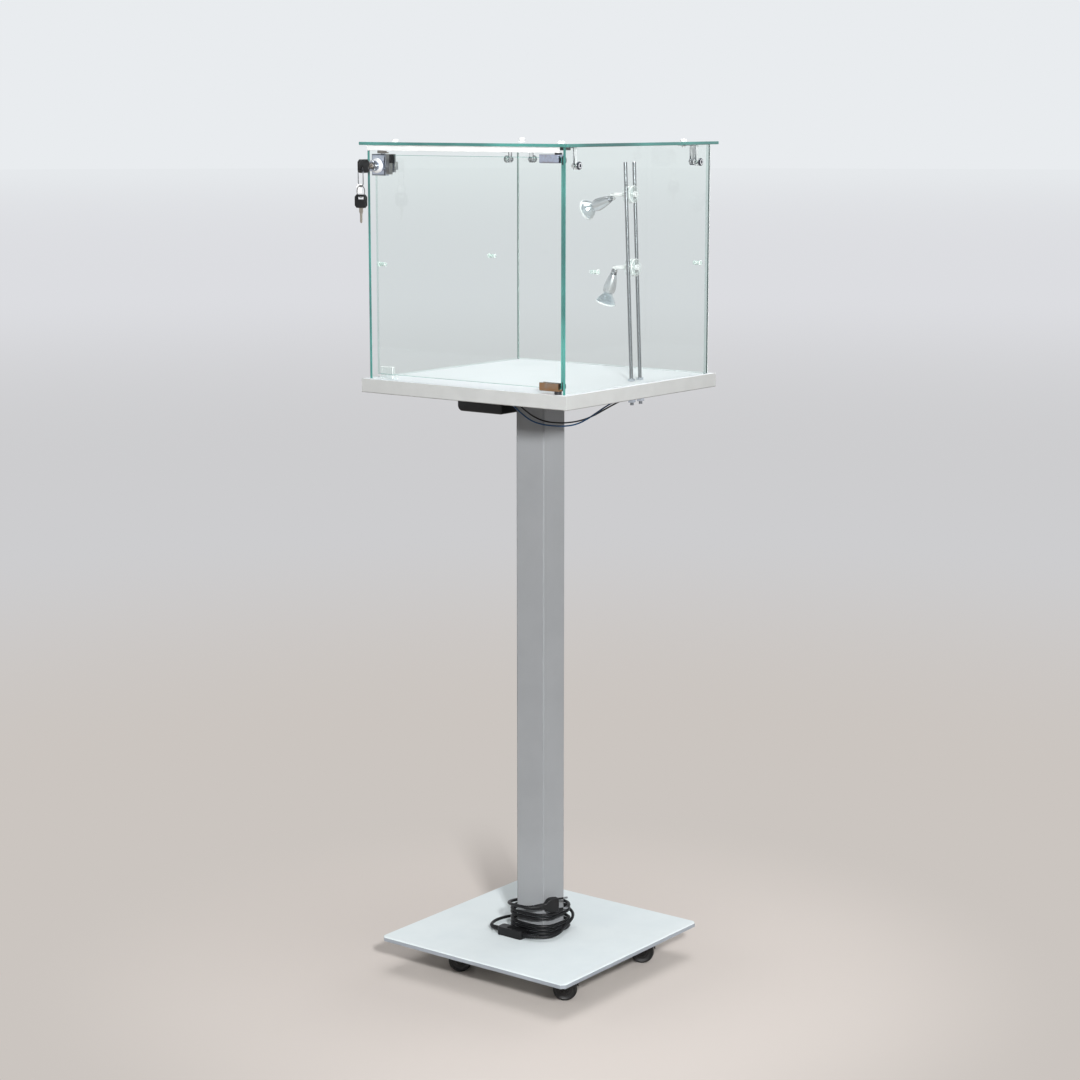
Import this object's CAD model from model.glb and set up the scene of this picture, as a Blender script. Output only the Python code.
import math

import bmesh
import bpy
from mathutils import Matrix, Vector


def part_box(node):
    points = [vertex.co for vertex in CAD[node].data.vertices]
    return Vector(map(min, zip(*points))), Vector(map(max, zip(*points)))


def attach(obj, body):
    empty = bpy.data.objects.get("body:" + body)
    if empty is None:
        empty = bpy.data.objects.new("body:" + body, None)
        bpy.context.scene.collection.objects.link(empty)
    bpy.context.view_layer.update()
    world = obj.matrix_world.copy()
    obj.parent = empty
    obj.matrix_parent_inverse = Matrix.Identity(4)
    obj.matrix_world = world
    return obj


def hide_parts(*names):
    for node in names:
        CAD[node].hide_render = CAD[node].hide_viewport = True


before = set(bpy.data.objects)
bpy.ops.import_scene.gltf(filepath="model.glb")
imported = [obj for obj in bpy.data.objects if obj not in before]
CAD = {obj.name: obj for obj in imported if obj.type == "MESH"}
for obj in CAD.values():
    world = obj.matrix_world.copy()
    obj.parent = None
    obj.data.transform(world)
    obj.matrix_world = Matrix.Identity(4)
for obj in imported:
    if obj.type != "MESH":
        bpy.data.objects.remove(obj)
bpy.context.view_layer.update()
scene = bpy.context.scene


# ---- Camera ----
# It stands about four metres away, just above the glass top, in front of the
# door and to its right, with a long lens.
camera_data = bpy.data.cameras.new("camera")
camera_data.sensor_width = 36
camera_data.lens = 79.48
camera_data.clip_end = 200
camera = bpy.data.objects.new("camera", camera_data)
camera.location = (2.4474, -3.2182, 1.4946)
camera.rotation_euler = (math.radians(90 - 10.204), 0, math.radians(37.265))
scene.collection.objects.link(camera)
scene.camera = camera
scene.view_settings.view_transform = "Standard"
scene.cycles.transparent_max_bounces = 40


# ---- Mains cord ----
# Round black PVC lead, 5.5 mm thick. It leaves the column's foot through a
# grommet, is wound round the foot down to its switch, and from there it climbs
# outside those turns and on top of them to its plug.
class Value:
    """A socket of a finish, so that its nodes can be written as sums."""

    def __init__(self, finish, socket):
        self.finish, self.socket = finish, socket

    def maths(self, operation, a, b=0.0):
        return self.finish.node("ShaderNodeMath", {"operation": operation}, {0: a, 1: b})

    def __add__(self, other):
        return self.maths("ADD", self, other)

    def __radd__(self, other):
        return self.maths("ADD", other, self)

    def __sub__(self, other):
        return self.maths("SUBTRACT", self, other)

    def __rsub__(self, other):
        return self.maths("SUBTRACT", other, self)

    def __mul__(self, other):
        return self.maths("MULTIPLY", self, other)

    def __pow__(self, other):
        return self.maths("POWER", self, other)

    def __abs__(self):
        return self.maths("ABSOLUTE", self)

    def step(self, low, high):
        """0 below low and 1 above high, with a soft rise between."""
        return self.finish.node("ShaderNodeMapRange", {"interpolation_type": "SMOOTHSTEP"},
                                {"Value": self, "From Min": low, "From Max": high})


class Finish:
    """A material, or the surround, made node by node."""

    def __init__(self, name, surround=False):
        self.made = (bpy.data.worlds if surround else bpy.data.materials).new(name)
        self.made.use_nodes = True
        self.tree = self.made.node_tree
        self.tree.nodes.clear()
        self.place = self.node("ShaderNodeTexCoord", {}, {}, "Generated" if surround else "Object")

    def node(self, kind, settings, sockets, out=0):
        made = self.tree.nodes.new(kind)
        for key, value in settings.items():
            setattr(made, key, value)
        for key, value in sockets.items():
            if isinstance(value, Value):
                self.tree.links.new(value.socket, made.inputs[key])
            else:
                made.inputs[key].default_value = value
        return None if out is None else Value(self, made.outputs[out])

    def grain(self, scale, detail=3.0, roughness=0.5, stretch=None):
        place = self.place
        if stretch:
            place = self.node("ShaderNodeMapping", {}, {"Vector": place, "Scale": stretch})
        return self.node("ShaderNodeTexNoise", {},
                         {"Vector": place, "Scale": scale, "Detail": detail, "Roughness": roughness})

    def axis(self, name):
        return self.node("ShaderNodeSeparateXYZ", {}, {0: self.place}, name)

    def mix(self, amount, a, b):
        return self.node("ShaderNodeMix", {"data_type": "RGBA"}, {0: amount, 6: a, 7: b}, 2)

    def bump(self, height, distance, strength=1.0):
        return self.node("ShaderNodeBump", {},
                         {"Height": height, "Distance": distance, "Strength": strength})

    def shader(self, **sockets):
        return self.node("ShaderNodeBsdfPrincipled", {},
                         {key.replace("_", " "): value for key, value in sockets.items()})

    def done(self, shader, output="ShaderNodeOutputMaterial"):
        self.node(output, {}, {"Surface": shader}, None)
        return self.made


def colour(red, green, blue):
    """A colour given as it looks on screen, from 0 to 255, as light."""
    def light(part):
        part /= 255
        return part / 12.92 if part <= 0.04045 else ((part + 0.055) / 1.055) ** 2.4
    return light(red), light(green), light(blue), 1.0


def plastic(name, shade, lighter, roughness, texture, depth, shine=0.5):
    """Moulded plastic: one colour with a faint cloud, and a fine skin."""
    finish = Finish(name)
    cloud = finish.grain(35, 3)
    skin = finish.grain(texture, 2)
    return finish.done(finish.shader(
        Base_Color=finish.mix(cloud.step(0.35, 0.7), shade, lighter),
        Roughness=roughness + (cloud - 0.5) * 0.16, Specular_IOR_Level=shine,
        Normal=finish.bump(skin, depth)))


CORD = 0.0055
cord_plastic = plastic("cord_pvc", colour(9, 9, 11), colour(17, 17, 20), 0.45, 900, 0.00006, 0.35)


def eased(amount):
    amount = min(1.0, max(0.0, amount))
    return amount * amount * (3 - 2 * amount)


def around(middle, radius, angle, height):
    turn = math.radians(angle)
    return Vector((middle[0] + radius * math.cos(turn), middle[1] + radius * math.sin(turn), height))


def heading(point):
    return math.degrees(math.atan2(point[1], point[0]))


FACE, LEAD_X, LEAD_OUT = 31.5, 4.0, 91.0
SOLE, SWITCH_Z, PLUG_Z = 69.05, 73.7, 125.0
SWITCH_AT, PLUG_AT, PLUG_HEADING = (-17.0, -60.0), (28.0, -50.0), 62.0
BEND, WIDE_BEND = 22.0, 40.0
COIL = 30 * math.sqrt(2) + 5.25
turn_out = (LEAD_X - BEND, FACE + 5.5)
turn_in = (SWITCH_AT[0] - 35.5, SWITCH_AT[1] + BEND)
turn_on = (SWITCH_AT[0] + 35.5, SWITCH_AT[1] + WIDE_BEND)
turn_plug = (PLUG_AT[0] - BEND * math.sin(math.radians(PLUG_HEADING)),
             PLUG_AT[1] + BEND * math.cos(math.radians(PLUG_HEADING)))
lower_from, lower_to, lower_end = heading(turn_out), heading(turn_in) + 1440, 1350
upper_from, upper_to, upper_end = heading(turn_on), heading(turn_plug) + 1080, 990 + PLUG_HEADING


def coil_radius(angle):
    return COIL - 3 * math.cos(math.radians(4 * angle))


def lower_turns(angle):
    done, left = angle - lower_from, lower_to - angle
    flare = (math.hypot(*turn_out) + BEND - coil_radius(lower_from)) * (1 - eased(done / 110))
    flare += (math.hypot(*turn_in) + BEND - coil_radius(lower_to)) * (1 - eased(left / 130))
    down = LEAD_OUT - (LEAD_OUT - SOLE) * done / (lower_to - lower_from)
    return around((0, 0), coil_radius(angle) + flare, angle,
                  down + (SWITCH_Z - SOLE) * (1 - eased(left / 100)))


def upper_turns(angle):
    done, left = angle - upper_from, upper_to - angle
    low = LEAD_OUT + 6.7
    flare = (math.hypot(*turn_on) + WIDE_BEND - coil_radius(upper_from) - 7.1) * (1 - eased(done / 60))
    flare += 7.1 * (1 - eased((done - 180) / 90))
    flare += (math.hypot(*turn_plug) + BEND - coil_radius(upper_to)) * (1 - eased(left / 90))
    height = SWITCH_Z + (low - SWITCH_Z) * eased(done / 135) + 6.5 * max(0, done - 135) / 360
    height += (PLUG_Z - low - 6.5 * (upper_to - upper_from - 135) / 360) * (1 - eased(left / 110))
    return around((0, 0), coil_radius(angle) + flare, angle, height)


def spread(first, last, step):
    count = math.ceil(abs(last - first) / step)
    return [first + (last - first) * i / count for i in range(count + 1)]


lower_route = [Vector((LEAD_X, FACE, LEAD_OUT)), Vector((LEAD_X, FACE + 2.7, LEAD_OUT))]
lower_route += [around(turn_out, BEND, a, LEAD_OUT) for a in spread(0, lower_from, 12)[:-1]]
lower_route += [lower_turns(a) for a in spread(lower_from, lower_to, 6)]
lower_route += [around(turn_in, BEND, a, SWITCH_Z) for a in spread(lower_to, lower_end, 12)[1:]]
lower_route += [Vector((SWITCH_AT[0] - 30, SWITCH_AT[1], SWITCH_Z))]
upper_route = [Vector((SWITCH_AT[0] + 30, SWITCH_AT[1], SWITCH_Z))]
upper_route += [around(turn_on, WIDE_BEND, a, SWITCH_Z) for a in spread(-90, upper_from, 8)[:-1]]
upper_route += [upper_turns(a) for a in spread(upper_from, upper_to, 6)]
upper_route += [around(turn_plug, BEND, a, PLUG_Z) for a in spread(upper_to, upper_end, 12)[1:]]
plug_way = Vector((math.cos(math.radians(PLUG_HEADING)), math.sin(math.radians(PLUG_HEADING)), 0))
plug_from = Vector((*PLUG_AT, PLUG_Z)) + 5.5 * plug_way
upper_route += [plug_from]


def lay_cord(name, route, thickness, material, body, sides=3):
    """A round cord along points in millimetres, as one smooth curve."""
    data = bpy.data.curves.new(name, "CURVE")
    data.dimensions = "3D"
    data.bevel_depth = thickness / 2
    data.bevel_resolution = sides
    data.use_fill_caps = True
    data.resolution_u = 2 if len(route) > 30 else 8
    line = data.splines.new("BEZIER")
    line.bezier_points.add(len(route) - 1)
    for knot, point in zip(line.bezier_points, route):
        knot.co = point / 1000
        knot.handle_left_type = knot.handle_right_type = "AUTO"
    data.materials.append(material)
    piece = bpy.data.objects.new(name, data)
    scene.collection.objects.link(piece)
    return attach(piece, body)


def along(route, distance):
    for a, b in zip(route, route[1:]):
        if distance <= (b - a).length:
            break
        distance -= (b - a).length
    return a.lerp(b, distance / (b - a).length)


def tapered_relief(name, route, length, wide, narrow):
    """A ribbed rubber sleeve that follows a cord's first stretch."""
    data = bpy.data.curves.new(name, "CURVE")
    data.dimensions = "3D"
    data.bevel_depth = 0.001
    data.bevel_resolution = 6
    data.use_fill_caps = True
    count = math.ceil(length / 0.7)
    line = data.splines.new("POLY")
    line.points.add(count)
    for i, knot in enumerate(line.points):
        knot.co = (*(along(route, length * i / count) / 1000), 1)
        groove = 0.5 if i % 5 > 2 and 3 < i < count - 2 else 0
        knot.radius = (wide + (narrow - wide) * i / count) / 2 - groove
    data.materials.append(cord_plastic)
    piece = bpy.data.objects.new(name, data)
    scene.collection.objects.link(piece)
    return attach(piece, "frame")


tapered_relief("relief_at_column", lower_route, 24, 9.4, 6.3)
switch_reliefs = [tapered_relief("relief_switch_left", lower_route[::-1], 23, 9.4, 6.3),
                  tapered_relief("relief_switch_right", upper_route, 23, 9.4, 6.3)]
plug_relief = tapered_relief("relief_at_plug", upper_route[::-1], 26, 9.8, 6.3)
lower_cord = lay_cord("mains_cord_to_switch", lower_route, CORD, cord_plastic, "frame")
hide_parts("cord_lower_coil")
upper_cord = lay_cord("mains_cord_to_plug", upper_route, CORD, cord_plastic, "frame")
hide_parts("cord_upper_coil")


# ---- Lamp wires ----
# One blue and one black insulated wire. They droop from the transformer, past
# the front of the column, and each ends in the terminal of its rod.
WIRE = 0.0026
blue_route = [
    (-40, -50, 1012), (-37, -50, 1012), (-28, -50, 1008), (-16, -48, 999), (-2, -45, 988),
    (14, -42, 979), (32, -37, 974), (50, -29, 972), (68, -18, 972), (84, -8, 976),
    (98, 0, 984), (111, 7, 994), (124, 13, 1004), (138, 18, 1013), (152, 22, 1018),
    (164, 24, 1019.5), (168.7, 24, 1019.5)]
black_route = [
    (-40, -42, 1016), (-37, -42, 1016), (-28, -42, 1013), (-16, -41, 1005), (-2, -39.5, 995),
    (14, -37.5, 986), (32, -33, 979.5), (50, -22, 976.5), (68, -8, 977), (84, 6, 981),
    (98, 18, 988), (111, 28, 997), (124, 37, 1006), (138, 44, 1014), (152, 48, 1018.5),
    (164, 49, 1019.5), (168.7, 49, 1019.5)]
blue_plastic = plastic("blue_insulation", colour(16, 64, 104), colour(26, 80, 124), 0.38, 900, 0.00004)
for wire_name, wire_node, wire_route, wire_finish in (
        ("lamp_wire_blue", "blue_wire", blue_route, blue_plastic),
        ("lamp_wire_black", "black_wire", black_route, cord_plastic)):
    wire_line = [Vector(p) for p in wire_route]
    wire = lay_cord(wire_name, wire_line, WIRE, wire_finish, "frame")
    "blue_wire" if wire_node == "blue_wire" else "cord_black"
    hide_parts(wire_node)


# ---- Base plate ----
# Steel plate, 8 mm thick and powder coated in a satin pale grey. Its corners
# are cut, its top edge is bevelled and the bevel catches the light.
def painted(name, shade, darker, roughness, metallic, speck=0.0):
    """Powder coat: a fine orange peel, a faint cloud and a little dust."""
    finish = Finish(name)
    peel = finish.grain(420, 2)
    cloud = finish.grain(7, 4, 0.6)
    dust = finish.grain(160, 4, 0.7).step(0.66, 0.78)
    tone = finish.mix(cloud.step(0.3, 0.75), shade, darker)
    return finish.done(finish.shader(
        Base_Color=finish.mix(dust * speck, tone, colour(140, 142, 142)),
        Roughness=roughness + (cloud - 0.5) * 0.12 + dust * 0.08, Metallic=metallic, Specular_IOR_Level=0.06,
        Normal=finish.bump(peel, 0.00008)))


def copied(node):
    """A CAD solid's shape as a bmesh, merged and with its flat faces joined."""
    shape = bmesh.new()
    shape.from_mesh(CAD[node].data)
    bmesh.ops.remove_doubles(shape, verts=shape.verts, dist=0.00001)
    bmesh.ops.dissolve_limit(shape, angle_limit=math.radians(0.6), verts=shape.verts, edges=shape.edges)
    return shape


def finished(name, shape, material, body, replaced=(), bevel=0.0, segments=2, smooth=True, rim=None):
    """Makes a piece of a bmesh, with rounded edges where a width is given.

    The rounded edges get a finish of their own where rim names one.
    """
    if smooth and not bevel:
        for edge in shape.edges:
            edge.smooth = edge.calc_face_angle(0) < math.radians(35)
    data = bpy.data.meshes.new(name)
    shape.to_mesh(data)
    shape.free()
    data.polygons.foreach_set("use_smooth", [smooth] * len(data.polygons))
    data.materials.append(material)
    piece = bpy.data.objects.new(name, data)
    scene.collection.objects.link(piece)
    if bevel:
        edges = piece.modifiers.new("rounded_edges", "BEVEL")
        edges.width = bevel
        edges.segments = segments
        edges.limit_method = "ANGLE"
        edges.angle_limit = math.radians(35)
        edges.use_clamp_overlap = False
        if rim:
            data.materials.append(rim)
            edges.material = 1
        shading = piece.modifiers.new("flat_faces_stay_flat", "WEIGHTED_NORMAL")
        shading.keep_sharp = True
        shading.weight = 100
    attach(piece, body)
    if replaced:
        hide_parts(*replaced)
    return piece


def coat(material, *nodes):
    """Gives CAD nodes whose shape stays a finish of their own."""
    for node in nodes:
        CAD[node].data.materials.clear()
        CAD[node].data.materials.append(material)


base_paint = painted("base_powder_coat", colour(224, 232, 234), colour(216, 225, 228), 0.55, 0.0, 0.25)
base_edge_paint = painted("base_edge_powder_coat", colour(164, 171, 179), colour(150, 157, 165),
                          0.5, 0.0, 0.25)
base_piece = finished("base_plate_steel", copied("base_plate"), base_paint, "frame",
                      ["base_plate"], bevel=0.0003)


def two_finishes(piece, second, chosen):
    """Gives the faces that a rule picks a second finish."""
    piece.data.materials.append(second)
    for face in piece.data.polygons:
        if chosen(face):
            face.material_index = len(piece.data.materials) - 1
    return piece


# The plate's cut sides are darker than its top.
two_finishes(base_piece, base_edge_paint, lambda face: abs(face.normal.z) < 0.2)


# ---- Column ----
# Square steel tube with small corner radii, sprayed in satin silver grey that
# is thin and dull on its corners. The plates at its ends are bare steel.
column_finish = Finish("column_silver_spray")
sprayed = column_finish.grain(7, 4, 0.6)
flecks = column_finish.grain(900, 2)
tube_corner = (abs(column_finish.axis("X")) + abs(column_finish.axis("Y"))).step(0.0565, 0.0580)
spray_tone = column_finish.mix(sprayed.step(0.3, 0.75), colour(164, 167, 170), colour(157, 160, 163))
column_paint = column_finish.done(column_finish.shader(
    Base_Color=column_finish.mix(tube_corner * 0.8, spray_tone, colour(148, 151, 154)),
    Specular_IOR_Level=0.35, Roughness=0.52 + (sprayed - 0.5) * 0.12, Metallic=0.12,
    Normal=column_finish.bump(flecks, 0.00004)))
coat(column_paint, "column")


def steel(name, shade, roughness, scratch=600):
    """Bare metal with fine scratches and a cloudy polish."""
    finish = Finish(name)
    lines = finish.grain(60, 3, 0.6, (1, 1, 12))
    cloud = finish.grain(90, 3)
    return finish.done(finish.shader(
        Base_Color=finish.mix(cloud.step(0.3, 0.7), shade, tuple(0.86 * part for part in shade[:3]) + (1,)),
        Metallic=1.0, Roughness=roughness + (lines - 0.5) * 0.14,
        Normal=finish.bump(finish.grain(scratch, 2), 0.00002)))


zinc = steel("zinc_plate", colour(178, 180, 182), 0.34)
coat(zinc, "column_end_plates", "assembly_screws", "caster_stems")


# ---- Grommets and inner lead ----
# Black rubber rings protect the lead where it enters the column under the deck
# and leaves it above the base plate.
rubber = plastic("grommet_rubber", colour(14, 14, 15), colour(24, 24, 25), 0.62, 500, 0.0001, 0.3)
finished("lead_grommets", copied("cord_grommets"), rubber, "frame", ["cord_grommets"], bevel=0.0004)
coat(cord_plastic, "inner_lead")


# ---- Casters ----
# Four twin-wheel furniture casters of black nylon. Each hood swivels on a
# steel stem that is pressed into the base plate.
hood_plastic = plastic("caster_nylon", colour(14, 14, 15), colour(24, 24, 26), 0.4, 300, 0.00012, 0.35)
wheel_finish = Finish("wheel_nylon")
wheel_wear = wheel_finish.grain(240, 4, 0.7)
wheel_material = wheel_finish.done(wheel_finish.shader(
    Base_Color=wheel_finish.mix(wheel_wear.step(0.45, 0.8), colour(14, 14, 15), colour(34, 33, 32)),
    Roughness=0.4 + (wheel_wear - 0.5) * 0.3, Normal=wheel_finish.bump(wheel_wear, 0.00015)))
CASTER_TURN = math.radians(37)
HALF_WHEEL = 0.007
WHEEL_OUTLINE = [
    (3.1, 0), (18, 0), (20.3, 1.2), (21, 3.4), (21, 5.2), (20.5, 5.5), (20.5, 6.1), (21, 6.4),
    (21, 8), (20.5, 8.3), (20.5, 8.9), (21, 9.2), (21, 10.6), (20.3, 12.8), (18.4, 13.9),
    (17.2, 14), (16.4, 13.6), (15.8, 12.2), (14.6, 11.8), (10.2, 11.6), (9.4, 12), (9, 12.8),
    (7.4, 13), (6.6, 12.9), (6, 12.3), (5, 12.4), (4.4, 13.6), (3.6, 14), (0, 14), (0, 12.6),
    (3.1, 12.6)]


def turned(name, outline, steps, place, material, body, replaced=(), smooth=True, closed=False):
    """A turned part: its outline, in millimetres from its axis, is spun."""
    shape = bmesh.new()
    points = [shape.verts.new((x / 1000, 0, z / 1000)) for x, z in outline]
    ends = zip(points, points[1:] + ([points[0]] if closed else []))
    edges = [shape.edges.new(pair) for pair in ends]
    bmesh.ops.spin(shape, geom=points + edges, axis=(0, 0, 1), cent=(0, 0, 0), steps=steps,
                   angle=math.tau, use_merge=True)
    bmesh.ops.remove_doubles(shape, verts=shape.verts, dist=0.00001)
    bmesh.ops.recalc_face_normals(shape, faces=shape.faces)
    bmesh.ops.transform(shape, matrix=place, verts=shape.verts)
    return finished(name, shape, material, body, replaced, smooth=smooth)


for corner in ("front_left", "front_right", "rear_right", "rear_left"):
    finished("hood_" + corner, copied("caster_hood_" + corner), hood_plastic, "caster_" + corner,
             ["caster_hood_" + corner], bevel=0.0005)
    for letter, side in (("a", 1), ("b", -1)):
        wheel = f"wheel_{corner}_{letter}"
        wheel_low, wheel_high = (Vector(end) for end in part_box(wheel))
        at_wheel = Matrix.Translation((wheel_low + wheel_high) / 2) @ Matrix.Rotation(CASTER_TURN, 4, "Z")
        at_wheel = at_wheel @ Matrix.Rotation(math.radians(-90 * side), 4, "X")
        at_wheel = at_wheel @ Matrix.Translation((0, 0, -HALF_WHEEL))
        turned("twin_" + wheel, WHEEL_OUTLINE, 48, at_wheel, wheel_material, wheel,
               [wheel], closed=True)


# ---- Deck ----
# Chipboard faced with near-white laminate. A thin plastic band is glued round
# its edge, in four lengths that meet at the corners.
laminate_finish = Finish("deck_laminate")
pores = laminate_finish.grain(700, 2)
haze = laminate_finish.grain(9, 3)
laminate = laminate_finish.done(laminate_finish.shader(
    Base_Color=laminate_finish.mix(haze.step(0.3, 0.75), colour(230, 233, 237), colour(226, 230, 234)),
    Roughness=0.62 + (haze - 0.5) * 0.1, Specular_IOR_Level=0.0, Normal=laminate_finish.bump(pores, 0.00004)))
coat(laminate, "deck")
band_finish = Finish("edge_band_plastic")
band_cloud = band_finish.grain(30, 3)
band_tone = band_finish.mix(band_cloud.step(0.3, 0.75), colour(200, 202, 201), colour(194, 196, 195))
glue_line = 1 - band_finish.axis("Z").step(1.0283, 1.0296)
band_material = band_finish.done(band_finish.shader(
    Base_Color=band_finish.mix(glue_line * 0.8, band_tone, colour(104, 101, 97)),
    Roughness=0.5, Normal=band_finish.bump(band_finish.grain(500, 2), 0.00006)))


def add_block(shape, low, high, rounding, segments=2):
    """Adds a box between two corners, in millimetres, with rounded edges."""
    low, high = Vector(low) / 1000, Vector(high) / 1000
    added = bmesh.ops.create_cube(shape, size=1, matrix=Matrix.Translation((low + high) / 2)
                                  @ Matrix.Diagonal((*(high - low), 1)))
    rims = list({edge for vert in added["verts"] for edge in vert.link_edges})
    bmesh.ops.bevel(shape, geom=rims, offset=rounding / 1000, segments=segments, profile=0.5,
                    affect="EDGES", material=-1)
    return shape


EDGE, BOARD, UNDERSIDE, DECK_TOP = 215, 214, 1028, 1051
band_strips = bmesh.new()
for strip_low, strip_high in (((-EDGE, -EDGE), (EDGE, -BOARD)), ((-EDGE, BOARD), (EDGE, EDGE)),
                              ((-EDGE, -BOARD), (-BOARD, BOARD)), ((BOARD, -BOARD), (EDGE, BOARD))):
    add_block(band_strips, (*strip_low, UNDERSIDE), (*strip_high, DECK_TOP), 0.35)
finished("deck_edge_band", band_strips, band_material, "frame", ["deck_edge_bands"],
         smooth=False)


# ---- Glass ----
# Five panes of 5 mm float glass with polished edges. The faces are nearly
# clear; the edges look deep green, because light runs along the pane to them.
def glass(name, tint, body_colour, strength):
    """Clear glass: it shows what is behind it, and mirrors more at a slant."""
    finish = Finish(name)
    through = finish.node("ShaderNodeBsdfTransparent", {}, {"Color": tint})
    smear = finish.grain(6, 4, 0.6)
    mirror = finish.shader(Base_Color=body_colour, Metallic=1.0,
                           Roughness=0.02 + smear.step(0.45, 0.8) * 0.03)
    slant = finish.node("ShaderNodeFresnel", {}, {"IOR": 1.5})
    outside = 1 - finish.node("ShaderNodeNewGeometry", {}, {}, "Backfacing")
    return finish.done(finish.node("ShaderNodeMixShader", {},
                                   {0: slant * outside * strength, 1: through, 2: mirror}))


pane_face = glass("pane_face", (0.975, 0.988, 0.982, 1), (0.95, 0.98, 0.97, 1), 1.2)
edge_finish = Finish("pane_edge")
edge_run = edge_finish.grain(5, 3, 0.5)
from_inside = edge_finish.node("ShaderNodeNewGeometry", {}, {}, "Backfacing")
outer_edge = edge_finish.shader(
    Base_Color=edge_finish.mix(edge_run.step(0.35, 0.7), colour(30, 96, 92), colour(80, 168, 158)),
    Roughness=0.12, Coat_Weight=1.0, Coat_Roughness=0.03)
clear_edge = edge_finish.node("ShaderNodeBsdfTransparent", {}, {"Color": (0.86, 0.92, 0.9, 1)})
pane_edge = edge_finish.done(edge_finish.node("ShaderNodeMixShader", {}, {
    0: from_inside * 0.86, 1: outer_edge, 2: clear_edge}))
joint_finish = Finish("pane_joint")
joint_run = joint_finish.grain(5, 3, 0.5).step(0.35, 0.7)
across_joint = joint_finish.axis("Y")
glued = across_joint.step(0.1996, 0.2000) * (1 - across_joint.step(0.2028, 0.2032))
ground = across_joint.step(0.2033, 0.2036) * (1 - across_joint.step(0.2047, 0.2049))
pane_joint = joint_finish.done(joint_finish.node("ShaderNodeMixShader", {}, {
    0: 0.25 + joint_run * 0.15 + glued * 0.6 + ground * 0.6,
    1: joint_finish.node("ShaderNodeBsdfTransparent", {}, {"Color": (0.9, 0.95, 0.93, 1)}),
    2: joint_finish.shader(Base_Color=joint_finish.mix(glued, joint_finish.mix(
        ground, colour(150, 172, 166), colour(250, 255, 254)), colour(24, 56, 54)), Roughness=0.2)}))


drilled_finish = Finish("drilled_glass")
drilled_glass = drilled_finish.done(drilled_finish.node("ShaderNodeMixShader", {}, {
    0: 0.2 + drilled_finish.grain(400, 2) * 0.2,
    1: drilled_finish.node("ShaderNodeBsdfTransparent", {}, {"Color": (0.95, 0.98, 0.97, 1)}),
    2: drilled_finish.shader(Base_Color=colour(226, 242, 236), Roughness=0.4)}))


def pane(name, node, body, thin, edge_look=pane_edge):
    """A pane with ground edges, thin along axis 0, 1 or 2, and frosted holes."""
    shape = copied(node)
    rims = [edge for edge in shape.edges if edge.calc_face_angle(0) > 1]
    bmesh.ops.bevel(shape, geom=rims, offset=0.0005, segments=1, affect="EDGES", profile=0.5, material=-1)
    piece = finished(name, shape, pane_face, body, [node], smooth=False)
    piece.data.materials.append(edge_look)
    piece.data.materials.append(drilled_glass)
    low, high = (Vector(end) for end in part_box(node))
    for face in piece.data.polygons:
        inside = all(low[i] + 0.004 < face.center[i] < high[i] - 0.004 for i in range(3) if i != thin)
        face.material_index = 0 if abs(face.normal[thin]) > 0.99 else 2 if inside else 1


pane("left_pane", "left_glass", "frame", 0)
pane("right_pane", "right_glass", "frame", 0)
pane("back_pane", "back_glass", "frame", 1, pane_joint)
pane("top_pane", "top_glass", "frame", 2)
pane("door_pane", "door_glass", "door", 1)


# ---- Rail, strike and door stop ----
# A white plastic rail is glued under the lid's front edge, with a dull metal
# strike for the lock's cam behind it. The door shuts on a clear acrylic stop.
white_plastic = plastic("rail_plastic", colour(252, 253, 253), colour(246, 248, 248), 0.3, 400, 0.00004)
finished("header_rail_white", copied("header_rail"), white_plastic, "frame",
         ["header_rail"], bevel=0.0004)
dull_metal = steel("strike_metal", colour(156, 151, 144), 0.42)
finished("strike_plate", copied("lock_strike"), dull_metal, "frame", ["lock_strike"],
         bevel=0.0002)


def acrylic(name, tint, cloudiness):
    """Clear cast acrylic: bright where it turns away, with soft scratches."""
    finish = Finish(name)
    turning = finish.node("ShaderNodeLayerWeight", {}, {"Blend": 0.5}, "Facing")
    outside = 1 - finish.node("ShaderNodeNewGeometry", {}, {}, "Backfacing")
    return finish.done(finish.node("ShaderNodeMixShader", {}, {
        0: (cloudiness + turning ** 2 * 0.75) * (0.3 + outside * 0.7),
        1: finish.node("ShaderNodeBsdfTransparent", {}, {"Color": (0.96, 0.98, 0.975, 1)}),
        2: finish.shader(Base_Color=tint, Roughness=0.08 + finish.grain(300, 3).step(0.4, 0.9) * 0.1,
                         Coat_Weight=1.0, Coat_Roughness=0.03)}))


clear_acrylic = acrylic("clear_acrylic", colour(244, 249, 249), 0.1)
acrylic_edge = acrylic("acrylic_edge", colour(252, 255, 255), 0.8)
pin_acrylic = acrylic("pin_acrylic", colour(214, 240, 231), 0.35)
finished("door_stop_block", copied("door_stop"), clear_acrylic, "frame", ["door_stop"],
         bevel=0.0009, rim=acrylic_edge)
finished("shelf_pin_studs", copied("shelf_pins"), pin_acrylic, "frame", ["shelf_pins"],
         bevel=0.0008, rim=acrylic_edge)


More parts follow.
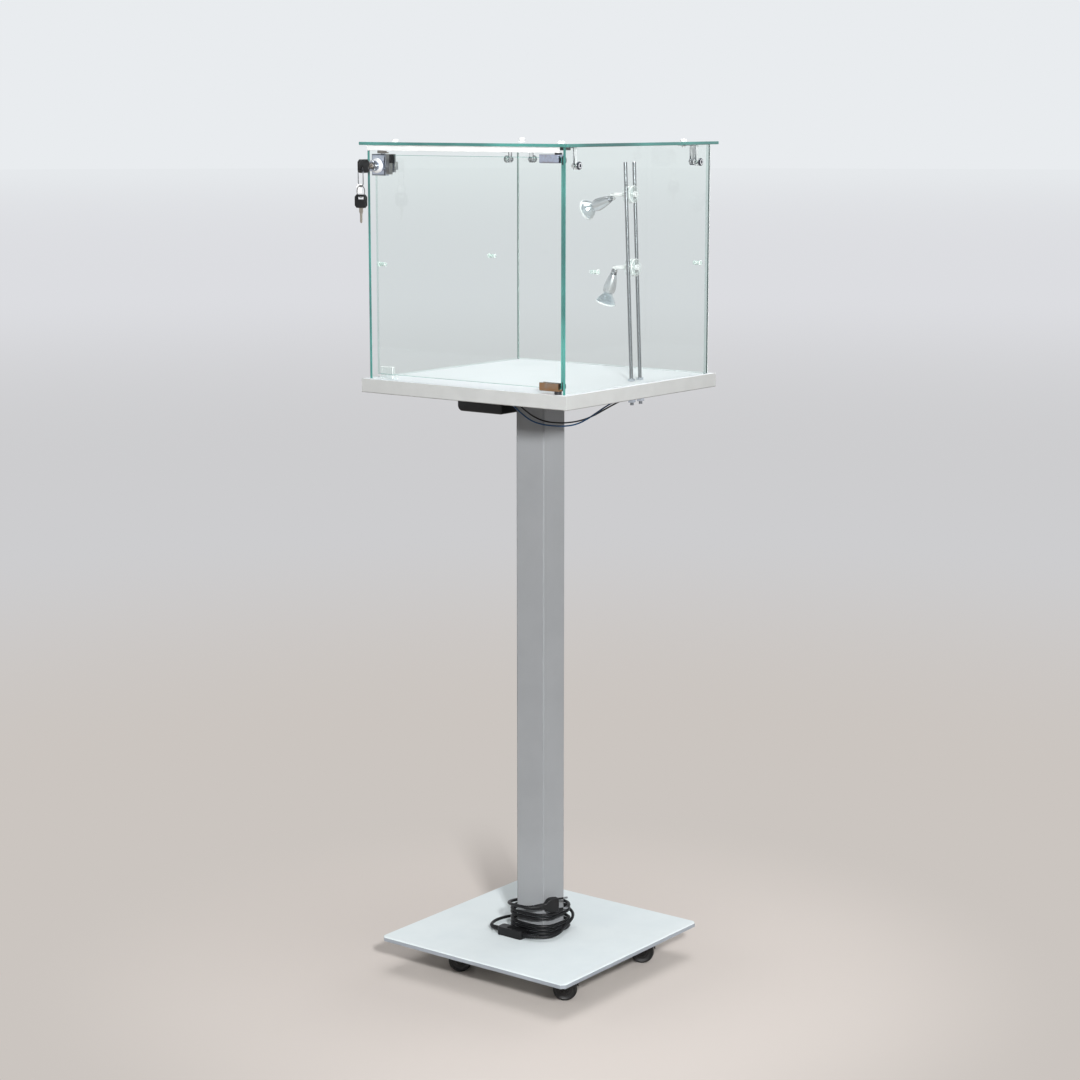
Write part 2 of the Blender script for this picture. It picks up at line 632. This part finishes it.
# ---- Corner brackets ----
# Chromed steel angles under the lid carry it on the walls. White caps cover
# their screws on top, and round chromed nuts show outside the walls.
chrome_finish = Finish("bright_chrome")
swirl = chrome_finish.grain(25, 3)
chrome = chrome_finish.done(chrome_finish.shader(
    Base_Color=chrome_finish.mix(swirl.step(0.4, 0.7), colour(214, 218, 224), colour(196, 202, 210)),
    Metallic=1.0, Roughness=0.06 + swirl.step(0.4, 0.8) * 0.06))
rim_finish = Finish("chrome_rim")
rim_cloud = rim_finish.grain(90, 3).step(0.35, 0.7)
chrome_rim = rim_finish.done(rim_finish.shader(
    Base_Color=rim_finish.mix(rim_cloud, colour(70, 74, 84), colour(104, 108, 116)),
    Metallic=1.0, Roughness=0.12 + rim_cloud * 0.08))
white_chrome_finish = Finish("white_chrome")
white_cloud = white_chrome_finish.grain(60, 3).step(0.35, 0.7)
white_chrome = white_chrome_finish.done(white_chrome_finish.shader(
    Base_Color=white_chrome_finish.mix(white_cloud, colour(250, 251, 252), colour(238, 240, 243)),
    Metallic=0.35, Roughness=0.16 + white_cloud * 0.08))
angles = finished("corner_angles", copied("corner_brackets"), white_chrome, "frame",
                  ["corner_brackets"], bevel=0.0007, rim=chrome_rim)
EDGE_FACE = 0.00009
two_finishes(angles, chrome_rim, lambda face: face.area < EDGE_FACE)
finished("bracket_nuts", copied("bracket_knobs"), white_chrome, "frame", ["bracket_knobs"],
         bevel=0.0009, rim=chrome_rim)
finished("lid_caps", copied("bracket_caps"), white_plastic, "frame", ["bracket_caps"],
         bevel=0.0007, segments=3)


# ---- Hinges ----
# Chromed clamps grip the door's corners; the lower one has yellowed to a warm
# brown. Their pins turn in black nylon: a block under the lid, a washer, and a
# boss in the deck.
clamp_finish = Finish("clamp_metal")
clamp_cloud = clamp_finish.grain(60, 3)
clamp_tone = clamp_finish.mix(clamp_finish.axis("Z").step(1.2, 1.3), colour(172, 136, 102),
                              colour(190, 198, 216))
clamp_metal = clamp_finish.done(clamp_finish.shader(
    Base_Color=clamp_finish.mix(clamp_cloud.step(0.35, 0.75), clamp_tone, colour(168, 160, 154)),
    Metallic=1.0, Roughness=0.14 + clamp_cloud * 0.1))
finished("door_hinge_clamps", copied("hinge_clamps"), clamp_metal, "door", ["hinge_clamps"],
         bevel=0.0005)
coat(zinc, "hinge_pins")
nylon = plastic("pivot_nylon", colour(20, 20, 21), colour(32, 32, 33), 0.45, 400, 0.00008)
finished("pivot_blocks", copied("pivot_bushes"), nylon, "frame", ["pivot_bushes"],
         bevel=0.0004)


# ---- Lock ----
# A chromed zinc case clamps the glass at the door's free top corner. Its plug
# turns a flat cam behind the glass, up behind the strike.
LOCK_X, LOCK_FRONT, LOCK_Z = -0.175, -0.2151, 1.4055
LOCK_STEP_X = -0.1579
lock_steel = steel("lock_brushed_step", colour(150, 150, 148), 0.3)
case_finish = Finish("lock_case_chrome")
case_cloud = case_finish.grain(70, 3).step(0.35, 0.7)
case_chrome = case_finish.done(case_finish.shader(
    Base_Color=case_finish.mix(case_cloud, colour(196, 202, 212), colour(168, 176, 190)),
    Metallic=0.9, Roughness=0.08 + case_cloud * 0.08))
lock_shape = copied("lock_case")
outline = [edge for edge in lock_shape.edges if edge.calc_length() > 0.01 and edge.calc_face_angle(0) > 1
           and all(abs(vert.co.y - LOCK_FRONT) < 0.00002 for vert in edge.verts)]
bmesh.ops.bevel(lock_shape, geom=outline, offset=0.0016, segments=3, affect="EDGES", profile=0.5, material=1)
lock_piece = finished("lock_housing", lock_shape, case_chrome, "door", ["lock_case"])
two_finishes(lock_piece, chrome_rim, lambda face: face.material_index == 1)
two_finishes(lock_piece, lock_steel, lambda face: face.center.x > LOCK_STEP_X and face.material_index == 0)
at_barrel = Matrix.Translation((LOCK_X, LOCK_FRONT, LOCK_Z)) @ Matrix.Rotation(math.radians(90), 4, "X")
turned("lock_dome", [(8.5, -0.4), (12.3, -0.4), (12.3, 0.4), (12, 1.6), (11.2, 2.8), (10, 3.7), (8.5, 4.2)],
       48, at_barrel, white_chrome, "door", closed=True)
turned("barrel_nose", [(6.2, 14.2), (7.2, 14.2), (7.4, 14.9), (7.8, 15.2), (8.4, 15.1), (8.8, 14.6),
                       (8.8, 13.6), (8.5, 13.2), (6.2, 13.2)],
       48, at_barrel, chrome, "door", closed=True)
pad_shape = add_block(bmesh.new(), (-150, -213.6, 1410.2), (-146.8, -205.2, 1424.2), 0.9, 3)
finished("lock_side_pad", pad_shape, rubber, "door", smooth=False)
plug_steel = steel("plug_steel", colour(120, 120, 122), 0.26)
finished("lock_cylinder", copied("lock_plug"), plug_steel, "lock", ["lock_plug"], bevel=0.0002)
finished("lock_tongue", copied("lock_cam"), zinc, "lock", ["lock_cam"], bevel=0.0003)


# ---- Keys ----
# Two flat steel keys with black plastic heads. One is in the lock; a wire ring
# on it carries a white tag and, on a round link, the spare.
key_plastic = plastic("key_head_plastic", colour(16, 16, 17), colour(32, 32, 33), 0.4, 350, 0.0001, 0.35)
key_steel = steel("key_steel", colour(178, 170, 158), 0.3)
KEY_SHOULDER_Y, HALF_BLADE, SPARE_SHOULDER_Z = -0.2362, 0.0045, 1.3381
key_piece = finished("key_in_lock", copied("lock_key"), key_plastic, "lock", ["lock_key"],
                     bevel=0.0006)
two_finishes(key_piece, key_steel, lambda face: face.center.y > KEY_SHOULDER_Y
             and abs(face.center.z - LOCK_Z) < HALF_BLADE)
tag_white = plastic("tag_card", colour(248, 248, 248), colour(240, 240, 240), 0.5, 300, 0.00005)
wire_steel = steel("ring_wire_steel", colour(96, 98, 102), 0.25)
TAG_X, TAG_Y, TAG_TOP = -0.1784, -0.2561, 1.3766
ring_piece = finished("oval_key_ring", copied("key_ring"), wire_steel, "ring", ["key_ring"])
two_finishes(ring_piece, tag_white, lambda face: abs(face.center.x - TAG_X) < 0.0006
             and abs(face.center.y - TAG_Y) < 0.0056 and face.center.z < TAG_TOP)
spare_piece = finished("spare_key_on_link", copied("spare_key"), key_plastic, "spare",
                       ["spare_key"], bevel=0.0005)
two_finishes(spare_piece, key_steel, lambda face: face.center.z < SPARE_SHOULDER_Z)


# ---- Lamp rods ----
# Two chromed rods carry the lamps and their low voltage. Collars hold them on
# the deck, and nuts and terminals sit on their ends under it.
rod_steel = steel("rod_steel", colour(142, 145, 148), 0.24, 300)
coat(rod_steel, "lamp_rods")
finished("rod_collars_and_nuts", copied("rod_fittings"), chrome, "frame", ["rod_fittings"],
         bevel=0.0004)


# ---- Lamps ----
# Each lamp is clamped to the rods by two clear discs. A short arm leads to a
# knuckle, and a turned aluminium body holds a small glass reflector lamp.
def pearl(name, shade, lighter, metallic, roughness):
    """Satin lacquer with fine metal flakes in it."""
    finish = Finish(name)
    flake = finish.grain(1500, 2)
    return finish.done(finish.shader(
        Base_Color=finish.mix(flake.step(0.4, 0.7), shade, lighter), Metallic=metallic,
        Roughness=roughness + (flake - 0.5) * 0.1, Coat_Weight=0.6, Coat_Roughness=0.08,
        Normal=finish.bump(flake, 0.00002)))


arm_metal = pearl("arm_lacquer", colour(248, 250, 250), colour(254, 255, 255), 0.1, 0.25)
body_metal = pearl("body_lacquer", colour(196, 199, 202), colour(222, 225, 227), 0.7, 0.24)
ROD_LEAN = math.radians(2.4)
KNUCKLE_AT = (-0.037, 0, -0.005)
rods_foot = Matrix.Translation((0.172, 0.0365, 1.051)) @ Matrix.Rotation(-ROD_LEAN, 4, "Y")
reflector_glass = Finish("reflector_glass")
facing = reflector_glass.node("ShaderNodeLayerWeight", {}, {"Blend": 0.35}, "Facing")
reflector_material = reflector_glass.done(reflector_glass.node("ShaderNodeMixShader", {}, {
    0: 0.3 + facing * 0.68,
    1: reflector_glass.node("ShaderNodeBsdfTransparent", {}, {"Color": (0.93, 0.96, 0.97, 1)}),
    2: reflector_glass.shader(Base_Color=colour(226, 230, 234), Metallic=0.75, Roughness=0.08,
                              Coat_Weight=1.0)}))
front_glass = glass("lamp_front_glass", (0.95, 0.97, 0.97, 1), (0.95, 0.97, 1, 1), 1.6)
white_glass = plastic("moulded_rim_glass", colour(250, 253, 253), colour(232, 238, 240), 0.15, 200, 0.0001)
for lamp, height_on_rods, tilt in (("upper", 0.308, 19), ("lower", 0.188, 69)):
    at_knuckle = rods_foot @ Matrix.Translation((0, 0, height_on_rods)) @ Matrix.Translation(KNUCKLE_AT)
    at_head = at_knuckle @ Matrix.Rotation(math.radians(-90 - tilt), 4, "Y")
    finished(lamp + "_clamp_discs", copied(lamp + "_lamp_clamp"), clear_acrylic, lamp + "_slider",
             [lamp + "_lamp_clamp"], bevel=0.001, segments=3, rim=acrylic_edge)
    finished(lamp + "_arm", copied(lamp + "_lamp_arm"), arm_metal, lamp + "_swivel",
             [lamp + "_lamp_arm"], bevel=0.0005, rim=body_metal)
    finished(lamp + "_body", copied(lamp + "_lamp_body"), body_metal, lamp + "_head",
             [lamp + "_lamp_body"], bevel=0.0005, rim=chrome_rim)
    turned(lamp + "_reflector", [
        (7.5, 35.3), (7.5, 40), (8.2, 42), (10, 44.4), (12.4, 47.4), (14.6, 50.6), (16.2, 54), (17.5, 56),
        (17.5, 57.4), (16.3, 57.4), (15.3, 54.8), (13.6, 51.6), (11.5, 48.6), (9.2, 45.8), (7.2, 43.6),
        (6.2, 41.5), (6.2, 36)], 20, at_head, reflector_material, lamp + "_head",
        [lamp + "_lamp_bulb"], smooth=False, closed=True)
    turned(lamp + "_reflector_rim", [
        (16.2, 54.6), (17.5, 55.8), (17.5, 57.5), (16.9, 57.8), (15.9, 57.5), (15.6, 55.6)],
           32, at_head, white_glass, lamp + "_head", closed=True)
    turned(lamp + "_front_glass", [(0, 56.4), (15.6, 56.4), (15.8, 56.9), (15.6, 57.2), (0, 57.2)],
           32, at_head, front_glass, lamp + "_head")
    turned(lamp + "_capsule", [
        (0, 36), (3.4, 36), (3.4, 42), (2.9, 42.8), (2.9, 49), (2.4, 50.6), (1.4, 51.6), (0, 52)],
           20, at_head, clear_acrylic, lamp + "_head")


# ---- Transformer ----
# A black plastic box fixed under the deck turns mains into low voltage.
transformer_plastic = plastic("transformer_plastic", colour(15, 15, 16), colour(25, 25, 27), 0.36, 260,
                              0.00015, 0.35)
box_shape = bmesh.new()
box_low, box_high = Vector((-136, -58, 986.5)), Vector((-40, -4, 1027.9))
bmesh.ops.create_cube(box_shape, size=0.001, matrix=Matrix.Translation((box_low + box_high) / 2000)
                             @ Matrix.Diagonal((*(box_high - box_low), 1)))
end_edge = [edge for edge in box_shape.edges
            if all(vert.co.z < 0.99 and vert.co.x < -0.13 for vert in edge.verts)]
bmesh.ops.bevel(box_shape, geom=end_edge, offset=0.0095, segments=6, profile=0.5, affect="EDGES", material=-1)
rims = [edge for edge in box_shape.edges if edge.calc_face_angle(0) > math.radians(30)]
bmesh.ops.bevel(box_shape, geom=rims, offset=0.003, segments=4, profile=0.5, affect="EDGES", material=-1)
add_block(box_shape, (-144.8, -39, 1025.1), (-134, -23, 1027.9), 0.6)
finished("transformer_box", box_shape, transformer_plastic, "frame", ["transformer"])


# ---- Switch and plug ----
# In-line rocker switch and two-pin plug, both of black plastic moulded in one
# with their cord's ends.
switch_piece = finished("inline_switch", copied("cord_switch"), hood_plastic, "frame",
                        ["cord_switch"], bevel=0.0004)
rocker_piece = finished("rocker_cap", copied("switch_rocker"), transformer_plastic, "rocker",
                        ["switch_rocker"], bevel=0.0001)
at_plug = Matrix.Translation(plug_from / 1000) @ Matrix.Rotation(math.radians(PLUG_HEADING), 4, "Z")
half_outline = [(0, 4.6), (9, 4.8), (11.5, 5.6), (14, 8.4), (17, 11.3), (21, 12.6), (28, 13), (34, 12.9),
                (36.9, 11.6)]
plug_shape = bmesh.new()
rim_points = [plug_shape.verts.new((x / 1000, -0.007, z / 1000))
              for x, z in half_outline + [(x, -z) for x, z in reversed(half_outline)]]
plug_side = plug_shape.faces.new(rim_points)
widened = bmesh.ops.extrude_face_region(plug_shape, geom=[plug_side])
far_side = [part for part in widened["geom"] if isinstance(part, bmesh.types.BMVert)]
bmesh.ops.translate(plug_shape, vec=(0, 0.014, 0), verts=far_side)
bmesh.ops.recalc_face_normals(plug_shape, faces=plug_shape.faces)
for vert in plug_shape.verts:
    vert.co.y *= 0.68 + 0.32 * eased((vert.co.x * 1000 - 8) / 14)
plug_rims = [edge for edge in plug_shape.edges if edge.calc_face_angle(0) > math.radians(50)]
bmesh.ops.bevel(plug_shape, geom=plug_rims, offset=0.003, segments=5, affect="EDGES", profile=0.5,
                material=-1)
bmesh.ops.transform(plug_shape, matrix=at_plug, verts=plug_shape.verts)
plug_piece = finished("plug_body", plug_shape, hood_plastic, "frame", ["plug"])
pin_outline = [(0, -1), (1.8, -1), (1.8, 10), (2, 10.2), (2, 17.4), (1.7, 18.4), (1, 18.9), (0, 19)]
for pin_name, pin_height in (("plug_pin_low", -9.3), ("plug_pin_high", 9.3)):
    at_pin = at_plug @ Matrix.Translation((0.0369, 0, pin_height / 1000))
    at_pin = at_pin @ Matrix.Rotation(math.radians(90), 4, "Y")
    pin = turned(pin_name, pin_outline, 20, at_pin, zinc, "frame")
    tip_from = at_plug @ Vector((0.047, 0, 0))
    two_finishes(pin, rubber, lambda face: (face.center - tip_from).dot(plug_way) < 0)


# ---- Floor, backdrop and lamps of the studio ----
# A plain pale floor without a wall, light from a small panel in front and three
# large ones, and a pale surround that glass and metal show as well. Two of the
# panels aren't mirrored, as their square outlines would show in the panes.
def shown_rays(finish):
    """1 for rays that show the surround to the camera, and 0 for those that light."""
    camera_ray, glossy_ray, transmission_ray = (
        finish.node("ShaderNodeLightPath", {}, {}, f"Is {kind} Ray")
        for kind in ("Camera", "Glossy", "Transmission"))
    return camera_ray.maths("MAXIMUM", camera_ray.maths("MAXIMUM", camera_ray, glossy_ray), transmission_ray)


floor_finish = Finish("floor")
distance = floor_finish.node("ShaderNodeVectorMath", {"operation": "LENGTH"}, {0: floor_finish.place},
                             "Value")
floor_far = floor_finish.mix(distance.step(15, 60), colour(220, 221, 225), colour(230, 233, 236))
floor_far = floor_finish.mix(distance.step(6, 16), colour(205, 205, 207), floor_far)
floor_far = floor_finish.mix(distance.step(1.6, 4.5), colour(203, 197, 192), floor_far)
floor_far = floor_finish.mix(shown_rays(floor_finish), colour(118, 113, 109), floor_far)
floor_material = floor_finish.done(floor_finish.node("ShaderNodeMixShader", {}, {
    0: distance.step(0.38, 0.95),
    1: floor_finish.shader(Base_Color=colour(206, 199, 194), Roughness=0.9, Specular_IOR_Level=0.0),
    2: floor_finish.node("ShaderNodeEmission", {}, {"Color": floor_far, "Strength": 1.0})}))
floor_mesh = bpy.data.meshes.new("floor")
shape = bmesh.new()
bmesh.ops.create_circle(shape, cap_ends=True, segments=96, radius=60)
shape.to_mesh(floor_mesh)
shape.free()
floor_mesh.materials.append(floor_material)
floor = bpy.data.objects.new("floor", floor_mesh)
scene.collection.objects.link(floor)

surround = Finish("surround", surround=True)
glossy = surround.node("ShaderNodeLightPath", {}, {}, "Is Glossy Ray")
pale = colour(233, 236, 239)
ceiling = surround.axis("Z").step(0.3, 0.75)
AWAY = (-0.606, 0.795, 0)
room = surround.node("ShaderNodeVectorMath", {"operation": "DOT_PRODUCT"}, {0: surround.place, 1: AWAY},
                     "Value")
around_it = surround.mix(room.step(-0.35, 0.35), colour(136, 143, 154), pale)
around_it = surround.mix(surround.axis("Z").step(0.02, 0.3), pale, around_it)
mirrored = surround.mix(ceiling, around_it, colour(96, 100, 108))
shown = surround.node("ShaderNodeBackground", {}, {"Color": surround.mix(glossy, pale, mirrored)})
lit = surround.node("ShaderNodeBackground", {}, {"Color": (1.0, 0.98, 0.96, 1), "Strength": 0.15})
both_kinds = surround.node("ShaderNodeMixShader", {}, {0: shown_rays(surround), 1: lit, 2: shown})
scene.world = surround.done(both_kinds, "ShaderNodeOutputWorld")

AIM = Vector((0, 0, 0.9))
for panel_name, panel_at, panel_size, panel_power in (
        ("panel_front", (2.88, -2.78, 2.12), 0.32, 196),
        ("panel_left", (-3.4, -2.2, 2.6), 2.4, 22),
        ("panel_back", (0.6, 4.0, 2.0), 2.4, 34),
        ("panel_above", (0.2, 0.2, 4.4), 3.2, 112)):
    panel_data = bpy.data.lights.new(panel_name, "AREA")
    panel_data.shape = "SQUARE"
    panel_data.size = panel_size
    panel_data.energy = panel_power
    panel = bpy.data.objects.new(panel_name, panel_data)
    panel.location = panel_at
    panel.rotation_euler = (AIM - Vector(panel_at)).to_track_quat("-Z", "Y").to_euler()
    panel.visible_glossy = panel_name not in ("panel_left", "panel_back")
    scene.collection.objects.link(panel)
